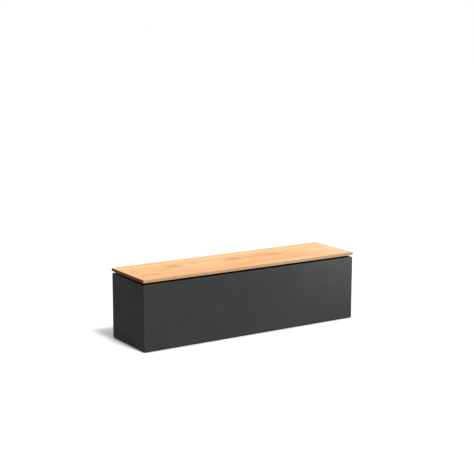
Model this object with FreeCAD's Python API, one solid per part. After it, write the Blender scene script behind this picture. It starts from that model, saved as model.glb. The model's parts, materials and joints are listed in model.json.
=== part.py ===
import FreeCAD, Part
import math
import os

os.makedirs("parts", exist_ok=True)

# A long sheet-metal trough on levelling feet, closed by a lift-off timber seat.
# Millimetres. X runs along the bench, -Y is the front, Z is up from the floor.
# The origin is on the floor, under the middle of the bench.

# Trough, outside sizes
body_length = 1600.0
body_depth = 415.0
seat_height = 455.0
floor_reveal = 3.0
shadow_gap = 12.0

# Folded sheet of the trough
body_sheet = 3.0
body_bend = 2.0
top_flange = 40.0
bottom_flange = 40.0
lip_drop = 22.0
weld_leg = 3.0

# Folded channels that carry the floor and the feet
bearer_names = ("left", "middle", "right")
bearer_width = 40.0
bearer_height = 40.0
bearer_sheet = 3.0
bearer_bend = 2.0
bearer_inset = 100.0
weld_gap = 1.0

# Drop-in floor tray
tray_sheet = 2.0
tray_bend = 2.0
tray_edge = 30.0
tray_clearance = 3.0
drain_radius = 10.0
drain_collar = 6.0
drain_row = 110.0

# Plugs in the key holes above the feet
key_hole_radius = 8.0
plug_rim = 4.0
plug_rim_height = 2.0
plug_clearance = 0.1

# Top-hat ribs on the long walls
rib_sides = ("left", "right")
rib_width = 60.0
rib_foot = 13.0
rib_depth = 20.0
rib_sheet = 2.0
rib_bend = 2.0
rib_gap = 10.0

# Cross ties between the lips of the long walls
tie_sides = ("left", "right")
tie_width = 40.0
tie_sheet = 2.0
tie_bend = 2.0

# M6 bolts and nuts of the ties
bolt_across = 6.0
bolt_length = 12.0
bolt_hole_clearance = 0.3
bolt_edge = 6.5
hex_across = 10.0
bolt_head = 4.0
nut_height = 5.0

# Levelling feet under the end bearers
foot_rows = ("front", "rear")
foot_sides = ("left", "right")
pad_across = 36.0
pad_headroom = 0.3
pad_socket_floor = 1.7
pad_clearance = 4.0
stem_radius = 6.0
stem_top_gap = 1.0
stem_key = 6.0
stem_key_depth = 7.0
thread_clearance = 0.05
foot_nut_across = 19.0
foot_nut_height = 34.0

# Timber seat board
board_thickness = 20.0
board_overhang = 3.0
board_arris = 1.5

# Flat-bar frame under the board
rail_inset = 22.0
rail_width = 40.0
rail_corner = 3.0
crossbar_count = 5
crossbar_width = 40.0

# Screws that hold the board, in slots so that the timber can move
screw_across = 5.0
screw_grip = 13.0
screw_head_across = 10.0
screw_head = 3.0
screw_slot_clearance = 0.4
screw_slot_travel = 6.0
screw_row = 115.0
pilot_clearance = 0.1

# Rubber buffers between the frame and the flanges
buffer_count = 5
buffer_length = 40.0
buffer_width = 12.0
buffer_height = 2.0
buffer_end_inset = 20.0

# Angles that keep the seat from sliding off the trough
lug_length = 60.0
lug_leg = 20.0
lug_drop = 30.0
lug_sheet = 3.0
lug_bend = 2.0
lug_clearance = 3.0

# Levels and lines that several pieces share
body_top = seat_height - board_thickness - shadow_gap
body_outer_bend = body_bend + body_sheet
inner_depth = body_depth - 2 * body_sheet
inner_length = body_length - 2 * body_sheet
opening_depth = body_depth - 2 * top_flange
opening_length = body_length - 2 * top_flange
bearer_bottom = floor_reveal + body_sheet
bearer_top = bearer_bottom + bearer_height
tray_top = bearer_top + tray_sheet
tray_rim = bearer_top + tray_edge
rib_bottom = tray_rim + rib_gap
rib_top = body_top - body_outer_bend - weld_gap
tie_top = body_top - body_outer_bend
tie_bottom = body_top - lip_drop
rail_bottom = body_top + buffer_height
rail_top = body_top + shadow_gap
rail_thickness = rail_top - rail_bottom
rail_middle = body_depth / 2 - rail_inset - rail_width / 2
rail_length = body_length - 2 * rail_inset
crossbar_length = 2 * rail_middle - rail_width
crossbar_span = opening_length - crossbar_width
foot_line = body_depth / 2 - bottom_flange - pad_clearance - pad_across / 2
stem_top = bearer_top - bearer_sheet - stem_top_gap

origin = FreeCAD.Vector(0, 0, 0)
x_axis = FreeCAD.Vector(1, 0, 0)
y_axis = FreeCAD.Vector(0, 1, 0)
z_axis = FreeCAD.Vector(0, 0, 1)
diagonal = FreeCAD.Vector(1, 1, 1)


def save(name, shape):
    shape.exportStep("parts/" + name + ".step")


def between(count, span):
    """Places of pieces that divide a span into equal bays, without its ends."""
    bay = span / (count + 1)
    return [bay * (i + 1) - span / 2 for i in range(count)]


def end_to_end(count, span):
    """Places of pieces spread evenly over a span, with one at each end."""
    step = span / (count - 1)
    return [step * i - span / 2 for i in range(count)]


def rounded_run(points, radii):
    """Lines through the points, joined by tangent arcs at the inner ones."""
    edges = []
    start = points[0]
    for before, corner, after, radius in zip(points, points[1:], points[2:], radii):
        into = (corner - before).normalize()
        out = (after - corner).normalize()
        half_turn = into.getAngle(out) / 2
        setback = radius * math.tan(half_turn)
        arc_start = corner - into * setback
        arc_end = corner + out * setback
        towards_centre = (out - into).normalize()
        arc_middle = corner + towards_centre * (radius / math.cos(half_turn) - radius)
        edges.append(Part.makeLine(start, arc_start))
        edges.append(Part.Arc(arc_start, arc_middle, arc_end).toShape())
        start = arc_end
    edges.append(Part.makeLine(start, points[-1]))
    return edges


def folded_bar(skin, sheet, bend, length):
    """A folded sheet section in Y and Z, run along X about x = 0.

    The skin is a list of (y, z) points on one face of the sheet, and the sheet
    lies to its left. The bend is the radius inside each fold.
    """
    points = [FreeCAD.Vector(0, y, z) for y, z in skin]
    runs = [(b - a).normalize() for a, b in zip(points, points[1:])]
    lefts = [x_axis.cross(run) for run in runs]
    back = [points[0] + lefts[0] * sheet]
    skin_radii = []
    back_radii = []
    for corner, before, after in zip(points[1:], lefts, lefts[1:]):
        back.append(corner + (before + after) * (sheet / (1 + before.dot(after))))
        turns_left = x_axis.dot(before.cross(after)) > 0
        skin_radii.append(bend + sheet if turns_left else bend)
        back_radii.append(bend if turns_left else bend + sheet)
    back.append(points[-1] + lefts[-1] * sheet)
    edges = rounded_run(points, skin_radii)
    edges += rounded_run(back, back_radii)
    edges.append(Part.makeLine(points[0], back[0]))
    edges.append(Part.makeLine(points[-1], back[-1]))
    outline = Part.Wire(Part.__sortEdges__(edges))
    bar = Part.Face(outline).extrude(x_axis * length)
    return bar.translated(x_axis * (-length / 2))


def folded_pan(length, depth, edge, sheet, bend):
    """A tray folded up on four sides, with a square relief at each corner."""
    relief = sheet + bend

    def channel(width, run):
        half = width / 2
        return folded_bar([(-half, edge), (-half, 0), (half, 0), (half, edge)], sheet, bend, run)

    long_sides = channel(depth, length - 2 * relief)
    ends = channel(length, depth - 2 * relief).rotated(origin, z_axis, 90)
    return long_sides.fuse(ends).removeSplitter()


def prism(sides, across, height):
    """An upright prism on z = 0, measured across its flats."""
    step = 2 * math.pi / sides
    corner = across / 2 / math.cos(step / 2)
    turns = [step * i for i in range(sides)]
    ring = [FreeCAD.Vector(corner * math.cos(t), corner * math.sin(t), 0) for t in turns]
    return Part.Face(Part.makePolygon(ring + ring[:1])).extrude(z_axis * height)


def hexagon(across, height):
    return prism(6, across, height)


def shank(across, height):
    """A small screw's shank or its hole, eight-sided so that the many stay light."""
    return prism(8, across, height)


def mitred_wall(width):
    """One wall with its flanges and lip, face on y = 0, mitred at both ends."""
    section = [
        (top_flange, body_top - lip_drop),
        (top_flange, body_top),
        (0, body_top),
        (0, floor_reveal),
        (bottom_flange, floor_reveal),
    ]
    bar = folded_bar(section, body_sheet, body_bend, width)
    half = width / 2
    left = FreeCAD.Vector(-half, 0, 0)
    right = FreeCAD.Vector(half, 0, 0)
    apex = FreeCAD.Vector(0, half, 0)
    mitre = Part.Face(Part.makePolygon([left, right, apex, left]))
    return bar.common(mitre.extrude(z_axis * body_top))


def tie_bolt_places():
    """Each tie bolt on the inner face of its lip, turned to point out of the trough."""
    level = tie_bottom + bolt_edge
    places = []
    for x in between(len(tie_sides), body_length):
        for side in (-1, 1):
            place = FreeCAD.Vector(x, side * opening_depth / 2, level)
            turn = FreeCAD.Rotation(z_axis, y_axis * side)
            places.append(FreeCAD.Placement(place, turn))
    return places


def on_tie_bolts(shape, offset):
    """Copies of a fastener's shape on every tie bolt, moved along it from the lip's face."""
    copies = []
    for place in tie_bolt_places():
        copies.append(shape.translated(z_axis * offset))
        copies[-1].Placement = place.multiply(copies[-1].Placement)
    return Part.makeCompound(copies)


def drill_tie_holes(shape):
    """Cuts the bolts' holes through the lips and the ties' end tabs."""
    hole = shank(bolt_across + 2 * bolt_hole_clearance, body_sheet + tie_sheet)
    return shape.cut(on_tie_bolts(hole, -tie_sheet))


def make_walls():
    front = mitred_wall(body_length).translated(y_axis * (-body_depth / 2))
    rear = front.rotated(origin, z_axis, 180)
    right = mitred_wall(body_depth).translated(y_axis * (-body_length / 2))
    right = right.rotated(origin, z_axis, 90)
    left = right.rotated(origin, z_axis, 180)
    save("front_wall", drill_tie_holes(front))
    save("rear_wall", drill_tie_holes(rear))
    save("left_end_wall", left)
    save("right_end_wall", right)


def make_corner_welds():
    """Fillet welds up the four inside corners, between the tray and the flange."""
    beads = []
    for x in (-1, 1):
        for y in (-1, 1):
            corner = FreeCAD.Vector(x * inner_length / 2, y * inner_depth / 2, rib_bottom)
            on_end = corner - y_axis * (y * weld_leg)
            on_side = corner - x_axis * (x * weld_leg)
            section = Part.Face(Part.makePolygon([corner, on_end, on_side, corner]))
            beads.append(section.extrude(z_axis * (rib_top - rib_bottom)))
    save("corner_welds", Part.makeCompound(beads))


def make_ribs():
    """Top-hat ribs that stiffen the long walls against a sitter's load."""
    crown = rib_width / 2 - rib_foot
    hat = [
        (-rib_width / 2, 0),
        (-crown, 0),
        (-crown, rib_depth - rib_sheet),
        (crown, rib_depth - rib_sheet),
        (crown, 0),
        (rib_width / 2, 0),
    ]
    height = rib_top - rib_bottom
    rib = folded_bar(hat, rib_sheet, rib_bend, height)
    rib = rib.rotated(origin, diagonal, -120)
    rib.translate(FreeCAD.Vector(0, -inner_depth / 2, rib_bottom + height / 2))
    for side, x in zip(rib_sides, between(len(rib_sides), body_length)):
        save("rib_front_" + side, rib.translated(x_axis * x))
        save("rib_rear_" + side, rib.rotated(origin, z_axis, 180).translated(x_axis * x))


def make_ties():
    """Inverted pans that hold the two long walls together under the seat."""
    tie = folded_pan(tie_width, opening_depth, tie_top - tie_bottom, tie_sheet, tie_bend)
    tie = tie.rotated(origin, x_axis, 180).translated(z_axis * tie_top)
    for side, x in zip(tie_sides, between(len(tie_sides), body_length)):
        save("tie_" + side, drill_tie_holes(tie.translated(x_axis * x)))


def make_tie_fasteners():
    bolt = hexagon(hex_across, bolt_head).translated(z_axis * -bolt_head)
    bolt = bolt.fuse(shank(bolt_across, bolt_length))
    nut = hexagon(hex_across, nut_height)
    nut = nut.cut(shank(bolt_across + 2 * thread_clearance, nut_height))
    save("tie_bolts", on_tie_bolts(bolt, -tie_sheet))
    save("tie_nuts", on_tie_bolts(nut, body_sheet))


def bearer_places():
    return end_to_end(len(bearer_names), body_length - 2 * bearer_inset)


def foot_places():
    """Name and middle of each foot on the floor."""
    places = []
    for row, side in zip(foot_rows, (-1, 1)):
        for name, x in zip(foot_sides, (bearer_places()[0], bearer_places()[-1])):
            places.append((row + "_" + name, FreeCAD.Vector(x, side * foot_line, 0)))
    return places


def drill_key_holes(shape):
    """Cuts a hole over each foot, for the key that turns its stem."""
    for name, place in foot_places():
        shape = shape.cut(Part.makeCylinder(key_hole_radius, tray_top, place))
    return shape


def make_bearers():
    """Channels with their legs down on the bottom flanges, drilled over the feet."""
    length = inner_depth - 2 * (body_bend + weld_gap)
    half = bearer_width / 2
    section = [(half, 0), (half, bearer_height), (-half, bearer_height), (-half, 0)]
    channel = folded_bar(section, bearer_sheet, bearer_bend, length)
    channel = channel.rotated(origin, z_axis, 90).translated(z_axis * bearer_bottom)
    for name, x in zip(bearer_names, bearer_places()):
        save("bearer_" + name, drill_key_holes(channel.translated(x_axis * x)))


def make_floor_tray():
    """A drop-in pan on the bearers, with drawn drain collars and key holes."""
    length = inner_length - 2 * tray_clearance
    depth = inner_depth - 2 * tray_clearance
    tray = folded_pan(length, depth, tray_edge, tray_sheet, tray_bend)
    tray.translate(z_axis * bearer_top)
    collar = Part.makeCylinder(drain_radius + tray_sheet, drain_collar)
    drain = Part.makeCylinder(drain_radius, drain_collar + tray_sheet)
    for start, end in zip(bearer_places(), bearer_places()[1:]):
        for y in (-drain_row, drain_row):
            place = FreeCAD.Vector((start + end) / 2, y, bearer_top - drain_collar)
            tray = tray.fuse(collar.translated(place))
            tray = tray.cut(drain.translated(place))
    save("floor_tray", drill_key_holes(tray.removeSplitter()))


def make_tray_plugs():
    """Hexagon-rimmed plugs that close the key holes in the tray and the bearers."""
    barrel_length = tray_sheet + bearer_sheet
    barrel_across = 2 * (key_hole_radius - plug_clearance) * math.cos(math.pi / 8)
    barrel = prism(8, barrel_across, barrel_length)
    rim = hexagon(2 * (key_hole_radius + plug_rim), plug_rim_height)
    plug = rim.fuse(barrel.translated(z_axis * -barrel_length))
    plugs = [plug.translated(place + z_axis * tray_top) for name, place in foot_places()]
    save("tray_plugs", Part.makeCompound(plugs))


def make_foot_nuts():
    """Long hexagon nuts welded under the bearers, one over each foot."""
    nut = hexagon(foot_nut_across, foot_nut_height)
    nut = nut.cut(Part.makeCylinder(stem_radius + thread_clearance, foot_nut_height))
    level = z_axis * (bearer_top - bearer_sheet - foot_nut_height)
    nuts = [nut.translated(place + level) for name, place in foot_places()]
    save("foot_nuts", Part.makeCompound(nuts))


def make_feet():
    """Eight-sided pads on the floor and threaded stems that turn in them."""
    pad_height = bearer_bottom - pad_headroom
    pad = prism(8, pad_across, pad_height)
    socket = Part.makeCylinder(stem_radius + thread_clearance, pad_height)
    pad = pad.cut(socket.translated(z_axis * pad_socket_floor))
    stem = Part.makeCylinder(stem_radius, stem_top - pad_socket_floor)
    stem.translate(z_axis * pad_socket_floor)
    key = hexagon(stem_key, stem_key_depth)
    stem = stem.cut(key.translated(z_axis * (stem_top - stem_key_depth)))
    for name, place in foot_places():
        save("foot_pad_" + name, pad.translated(place))
        save("foot_stem_" + name, stem.translated(place))


def crossbar_places():
    return end_to_end(crossbar_count, crossbar_span)


def seat_screw_places():
    """Middle of each seat screw on the underside of its crossbar."""
    rows = (-screw_row, 0, screw_row)
    return [FreeCAD.Vector(x, y, rail_bottom) for x in crossbar_places() for y in rows]


def make_seat_board():
    """One solid timber panel with eased arrises and blind pilot holes below."""
    length = body_length + 2 * board_overhang
    depth = body_depth + 2 * board_overhang
    start = FreeCAD.Vector(-length / 2, -depth / 2, rail_top)
    board = Part.makeBox(length, depth, board_thickness, start)
    board = board.makeChamfer(board_arris, board.Edges)
    pilot = shank(screw_across + 2 * pilot_clearance, screw_grip + pilot_clearance)
    pilots = [pilot.translated(place + z_axis * rail_thickness) for place in seat_screw_places()]
    save("seat_board", board.cut(Part.makeCompound(pilots)))


def make_seat_rails():
    """Flat bars along the front and rear of the frame, with rounded outer ends."""
    start = FreeCAD.Vector(-rail_length / 2, -rail_middle - rail_width / 2, rail_bottom)
    rail = Part.makeBox(rail_length, rail_width, rail_thickness, start)
    upright = [edge for edge in rail.Edges if edge.BoundBox.ZLength > rail_thickness / 2]
    outer = [edge for edge in upright if edge.BoundBox.YMax < -rail_middle]
    rail = rail.makeFillet(rail_corner, outer)
    save("seat_rail_front", rail)
    save("seat_rail_rear", rail.rotated(origin, z_axis, 180))


def make_seat_crossbars():
    """Flat bars between the rails, slotted so that the board can swell and shrink."""
    start = FreeCAD.Vector(-crossbar_width / 2, -crossbar_length / 2, rail_bottom)
    bar = Part.makeBox(crossbar_width, crossbar_length, rail_thickness, start)
    slot_width = screw_across + 2 * screw_slot_clearance
    for y in (-screw_row, 0, screw_row):
        slot_length = slot_width + screw_slot_travel if y else slot_width
        corner = FreeCAD.Vector(-slot_width / 2, y - slot_length / 2, rail_bottom)
        bar = bar.cut(Part.makeBox(slot_width, slot_length, rail_thickness, corner))
    for number, x in enumerate(crossbar_places(), 1):
        save("seat_crossbar_" + str(number), bar.translated(x_axis * x))


def make_seat_screws():
    """Hexagon-head screws up through the crossbars into the board."""
    screw = hexagon(screw_head_across, screw_head).translated(z_axis * -screw_head)
    screw = screw.fuse(shank(screw_across, rail_thickness + screw_grip))
    screws = [screw.translated(place) for place in seat_screw_places()]
    save("seat_screws", Part.makeCompound(screws))


def make_seat_buffers():
    """Rubber pads under the rails, which rest on the flanges of the long walls."""
    span = rail_length - 2 * buffer_end_inset - buffer_length
    rail_edge = body_depth / 2 - rail_inset
    flat_edge = opening_depth / 2 + body_outer_bend
    line = (rail_edge + flat_edge) / 2
    buffers = []
    for x in end_to_end(buffer_count, span):
        for side in (-1, 1):
            middle = side * line
            corner = FreeCAD.Vector(x - buffer_length / 2, middle - buffer_width / 2, body_top)
            buffers.append(Part.makeBox(buffer_length, buffer_width, buffer_height, corner))
    save("seat_buffers", Part.makeCompound(buffers))


def make_lugs():
    """Angles under the frame that drop inside the lips and locate the seat."""
    angle = [(lug_leg, rail_bottom), (0, rail_bottom), (0, rail_bottom - lug_drop)]
    lug = folded_bar(angle, lug_sheet, lug_bend, lug_length)
    long_side = lug.translated(y_axis * (lug_clearance - opening_depth / 2))
    end = lug.translated(y_axis * (lug_clearance - opening_length / 2))
    bars = crossbar_places()
    for side, x in (("left", (bars[0] + bars[1]) / 2), ("right", (bars[-2] + bars[-1]) / 2)):
        save("lug_front_" + side, long_side.translated(x_axis * x))
        save("lug_rear_" + side, long_side.rotated(origin, z_axis, 180).translated(x_axis * x))
    between_screws = screw_row / 2
    save("lug_right", end.rotated(origin, z_axis, 90).translated(y_axis * between_screws))
    save("lug_left", end.rotated(origin, z_axis, -90).translated(y_axis * between_screws))


make_walls()
make_corner_welds()
make_ribs()
make_ties()
make_tie_fasteners()
make_bearers()
make_floor_tray()
make_tray_plugs()
make_foot_nuts()
make_feet()
make_seat_board()
make_seat_rails()
make_seat_crossbars()
make_seat_screws()
make_seat_buffers()
make_lugs()
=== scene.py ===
import json
import math
import bmesh
import bpy
from mathutils import Euler, Matrix, Vector

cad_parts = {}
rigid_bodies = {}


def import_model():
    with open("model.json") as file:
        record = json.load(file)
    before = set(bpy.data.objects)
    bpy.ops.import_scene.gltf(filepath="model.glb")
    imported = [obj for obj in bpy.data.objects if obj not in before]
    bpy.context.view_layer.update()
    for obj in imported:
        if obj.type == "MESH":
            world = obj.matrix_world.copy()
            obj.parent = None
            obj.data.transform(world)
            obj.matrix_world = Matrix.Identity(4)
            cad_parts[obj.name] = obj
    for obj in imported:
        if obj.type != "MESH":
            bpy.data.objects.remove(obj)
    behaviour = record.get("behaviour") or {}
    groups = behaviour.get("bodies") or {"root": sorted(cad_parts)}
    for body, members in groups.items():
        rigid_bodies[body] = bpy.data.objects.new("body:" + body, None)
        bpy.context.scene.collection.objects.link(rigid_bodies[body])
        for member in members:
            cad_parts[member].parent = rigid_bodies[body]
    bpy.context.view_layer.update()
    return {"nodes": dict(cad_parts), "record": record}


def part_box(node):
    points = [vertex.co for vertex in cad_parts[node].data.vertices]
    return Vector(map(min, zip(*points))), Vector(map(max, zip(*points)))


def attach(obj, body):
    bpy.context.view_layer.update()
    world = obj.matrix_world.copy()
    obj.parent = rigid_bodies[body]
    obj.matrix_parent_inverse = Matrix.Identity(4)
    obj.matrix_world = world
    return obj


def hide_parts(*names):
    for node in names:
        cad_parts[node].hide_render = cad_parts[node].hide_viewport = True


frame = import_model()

nodes = frame["nodes"]
print("frame loaded:", len(nodes), "nodes")

# camera, at the photograph's angle

cameraView = {
    "place": (-4.0700, -6.2752, 2.0309),
    "yaw": 32.998,  # degrees to the right of straight ahead
    "pitch": 10.785,  # degrees down
    "roll": 0.163,  # degrees
    "lens": 88.8,  # mm
    "sensor": 36.0,  # mm across
}


def makeCamera(view):
    data = bpy.data.cameras.new("camera")
    data.lens = view["lens"]
    data.sensor_width = view["sensor"]
    camera = bpy.data.objects.new("camera", data)
    camera.location = view["place"]
    aim = Euler((math.radians(90 - view["pitch"]), 0, math.radians(-view["yaw"]))).to_matrix()
    camera.rotation_euler = (aim @ Matrix.Rotation(math.radians(view["roll"]), 3, "Z")).to_euler()
    bpy.context.scene.collection.objects.link(camera)
    bpy.context.scene.camera = camera


makeCamera(cameraView)
print("camera placed")

# small helpers for shader nodes: a value given as a socket is linked, any other is typed in


def putNode(tree, kind, inputs=None, **settings):
    node = tree.nodes.new(kind)
    for name, value in settings.items():
        setattr(node, name, value)
    for name, value in (inputs or {}).items():
        fill(tree, node.inputs[name], value)
    return node


def fill(tree, socket, value):
    if isinstance(value, bpy.types.NodeSocket):
        tree.links.new(value, socket)
    elif socket.type == "RGBA" and len(value) == 3:
        socket.default_value = (*value, 1)
    else:
        socket.default_value = value


def calc(tree, operation, a, b=0.0, clamp=False):
    node = putNode(tree, "ShaderNodeMath", {0: a, 1: b}, operation=operation)
    node.use_clamp = clamp
    return node.outputs[0]


def blendColours(tree, amount, a, b, way="MIX"):
    # a Mix node takes its colours at inputs 6 and 7 and gives the mixed one at output 2
    node = putNode(tree, "ShaderNodeMix", data_type="RGBA", blend_type=way)
    fill(tree, node.inputs["Factor"], amount)
    fill(tree, node.inputs[6], a)
    fill(tree, node.inputs[7], b)
    return node.outputs[2]


def spread(tree, value, low, high, lowOut=0.0, highOut=1.0):
    node = putNode(tree, "ShaderNodeMapRange", {
        "Value": value, "From Min": low, "From Max": high, "To Min": lowOut, "To Max": highOut})
    node.interpolation_type = "SMOOTHSTEP"
    return node.outputs["Result"]


def scaled(tree, vector, scale, offset=(0, 0, 0)):
    node = putNode(tree, "ShaderNodeMapping", {"Vector": vector, "Scale": scale, "Location": offset})
    return node.outputs["Vector"]


def cloud(tree, vector, scale, detail=2.0, roughness=0.5):
    node = putNode(tree, "ShaderNodeTexNoise", {
        "Vector": vector, "Scale": scale, "Detail": detail, "Roughness": roughness})
    return node.outputs["Fac"]


def byShade(tree, shade, low, high, start=0.3, end=0.7):
    # from low to high with a soft cloud, which stays near its middle
    return spread(tree, shade, start, end, low, high)


def objectPoint(tree):
    return putNode(tree, "ShaderNodeTexCoord").outputs["Object"]


def surfaceNormal(tree):
    return putNode(tree, "ShaderNodeNewGeometry").outputs["Normal"]


def axes(tree, vector):
    return putNode(tree, "ShaderNodeSeparateXYZ", {0: vector}).outputs


def vectorMath(tree, operation, a, b=(0, 0, 0), output="Vector"):
    return putNode(tree, "ShaderNodeVectorMath", {0: a, 1: b}, operation=operation).outputs[output]


def newGroup(name, inputs, outputs):
    tree = bpy.data.node_groups.new(name, "ShaderNodeTree")
    for label, kind, value in inputs:
        socket = tree.interface.new_socket(label, in_out="INPUT", socket_type="NodeSocket" + kind)
        socket.default_value = (*value, 1) if kind == "Color" else value
    for label, kind in outputs:
        tree.interface.new_socket(label, in_out="OUTPUT", socket_type="NodeSocket" + kind)
    start = tree.nodes.new("NodeGroupInput")
    end = tree.nodes.new("NodeGroupOutput")
    return tree, start.outputs, end.inputs


def place(tree, group, inputs):
    node = putNode(tree, "ShaderNodeGroup", node_tree=group)
    for name, value in inputs.items():
        fill(tree, node.inputs[name], value)
    return node.outputs


def newMaterial(name):
    material = bpy.data.materials.new(name)
    material.use_nodes = True
    tree = material.node_tree
    tree.nodes.clear()
    shader = tree.nodes.new("ShaderNodeBsdfPrincipled")
    output = tree.nodes.new("ShaderNodeOutputMaterial")
    tree.links.new(shader.outputs[0], output.inputs["Surface"])
    return material, tree, shader


def dent(tree, height, strength, depth):
    return putNode(tree, "ShaderNodeBump", {
        "Height": height, "Strength": strength, "Distance": depth}).outputs["Normal"]


# effects that several finishes share


wearLook = {
    "samples": 6,
    "flat": 0.995,  # cosine of the turn at an edge, where wear begins
    "sharp": 0.9,  # and where it is full
    "patches": (0.35, 0.65),
    "patchDetail": 3.0,
    "patchRoughness": 0.6,
}

dustLook = {
    "upward": (0.4, 1.0),  # how far up a face looks, from no dust to full
    "patches": (0.25, 0.75),
    "patchScale": 9.0,
    "patchDetail": 5.0,
    "patchRoughness": 0.6,
    "thinnest": 0.35,
}

grainLook = {
    "fineShare": 0.6,
    "waveShare": 0.4,
    "waveSize": 4.0,  # times the grain's size
    "waveDetail": 1.0,
    "shadeDetail": 4.0,
    "shadeRoughness": 0.55,
}


def makeEdgeWear(look):
    # 1 along edges, broken up by a cloud, 0 on flat faces
    tree, given, result = newGroup("edgeWear", [
        ("Reach", "Float", 0.001), ("Break Up", "Float", 60.0)], [("Mask", "Float")])
    rounded = putNode(tree, "ShaderNodeBevel", {"Radius": given["Reach"]}, samples=look["samples"])
    turn = vectorMath(tree, "DOT_PRODUCT", rounded.outputs["Normal"], surfaceNormal(tree), "Value")
    edge = spread(tree, turn, look["flat"], look["sharp"])
    patches = cloud(tree, objectPoint(tree), given["Break Up"], look["patchDetail"],
                    look["patchRoughness"])
    worn = calc(tree, "MULTIPLY", edge, spread(tree, patches, *look["patches"]))
    tree.links.new(worn, result["Mask"])
    return tree


def makeDustFilm(look):
    # dust that settles on upward faces, and splashes near the floor
    tree, given, result = newGroup("dustFilm", [
        ("Settled", "Float", 0.5), ("Splashed", "Float", 0.2), ("Splash Height", "Float", 0.05)],
        [("Mask", "Float")])
    point = objectPoint(tree)
    upward = spread(tree, axes(tree, surfaceNormal(tree))["Z"], *look["upward"])
    settled = calc(tree, "MULTIPLY", upward, given["Settled"])
    low = calc(tree, "DIVIDE", axes(tree, point)["Z"], given["Splash Height"])
    splashed = calc(tree, "MULTIPLY", spread(tree, low, 1.0, 0.0), given["Splashed"])
    both = calc(tree, "ADD", settled, splashed, clamp=True)
    film = cloud(tree, point, look["patchScale"], look["patchDetail"], look["patchRoughness"])
    patches = spread(tree, film, *look["patches"], look["thinnest"], 1.0)
    tree.links.new(calc(tree, "MULTIPLY", both, patches), result["Mask"])
    return tree


def makeFineGrain(look):
    # the fine pebbling of powder coat, moulded plastic and rubber, and a soft wide shade
    tree, given, result = newGroup("fineGrain", [
        ("Grain Size", "Float", 0.0008), ("Shade Size", "Float", 0.2)],
        [("Height", "Float"), ("Shade", "Float")])
    point = objectPoint(tree)
    fine = cloud(tree, point, calc(tree, "DIVIDE", 1.0, given["Grain Size"]))
    waveScale = calc(tree, "DIVIDE", 1 / look["waveSize"], given["Grain Size"])
    waves = cloud(tree, point, waveScale, look["waveDetail"])
    height = calc(tree, "ADD", calc(tree, "MULTIPLY", fine, look["fineShare"]),
                  calc(tree, "MULTIPLY", waves, look["waveShare"]))
    shade = cloud(tree, point, calc(tree, "DIVIDE", 1.0, given["Shade Size"]), look["shadeDetail"],
                  look["shadeRoughness"])
    tree.links.new(height, result["Height"])
    tree.links.new(shade, result["Shade"])
    return tree


edgeWear = makeEdgeWear(wearLook)
dustFilm = makeDustFilm(dustLook)
fineGrain = makeFineGrain(grainLook)


def placeGrain(tree, look):
    return place(tree, fineGrain, {"Grain Size": look["grainSize"], "Shade Size": look["shadeSize"]})


def placeWear(tree, look):
    return place(tree, edgeWear, {"Reach": look["wearReach"], "Break Up": look["wearBreakUp"]})["Mask"]


def placeDust(tree, look):
    return place(tree, dustFilm, {
        "Settled": look["settled"], "Splashed": look["splashed"],
        "Splash Height": look["splashHeight"]})["Mask"]


print("shared effects built")

# powder coat, on the trough and on the seat's frame

coatLook = {
    "colour": (0.0786, 0.0822, 0.0805),
    "mottle": 0.06,
    "roughness": 0.58,
    "roughSpread": 0.04,
    "gloss": 0.035,
    "grainSize": 0.0009,
    "grainStrength": 0.35,
    "grainDepth": 0.00012,
    "shadeSize": 0.25,
    "wearReach": 0.0012,
    "wearBreakUp": 45.0,
    "edgeColour": (0.11, 0.113, 0.11),
    "edgeAmount": 0.35,
    "dustColour": (0.17, 0.16, 0.145),
    "dustRough": 0.25,
    "settled": 0.0,
    "splashed": 0.05,
    "splashHeight": 0.06,
    # painted shade on the top flange, which stands in for the shade in the gap under the seat
    "paintedShadeColour": (0.012, 0.009, 0.007),
    "paintedShade": 0.9,
    "paintedShadeFrom": 0.415,  # height, just below the top flange
    "paintedShadeUpward": (0.30, 0.90),
    "paintedShadePatches": (0.3, 0.6),
    "paintedShadeThinnest": 0.8,
}

innerLook = dict(coatLook, roughness=0.66, settled=0.55, splashed=0.35, mottle=0.12, paintedShade=0.0)
# the frame's near-black coat is partly painted shade: it keeps the gap under the seat dark
frameLook = dict(coatLook, colour=(0.018, 0.0185, 0.019), edgeColour=(0.05, 0.05, 0.05),
                 roughness=0.64, paintedShade=0.0)


def addPaintedShade(tree, look, shade, colour):
    # painted shade: the top flange under the seat is darkened, broken into patches, to stand in for the
    # shade in the gap
    high = calc(tree, "GREATER_THAN", axes(tree, objectPoint(tree))["Z"], look["paintedShadeFrom"])
    upward = axes(tree, surfaceNormal(tree))["Z"]
    paintedShade = calc(tree, "MULTIPLY", high, spread(tree, upward, *look["paintedShadeUpward"], 0.0, look["paintedShade"]))
    patches = spread(tree, shade, *look["paintedShadePatches"], look["paintedShadeThinnest"], 1.0)
    paintedShade = calc(tree, "MULTIPLY", paintedShade, patches)
    return blendColours(tree, paintedShade, colour, look["paintedShadeColour"])


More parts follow.
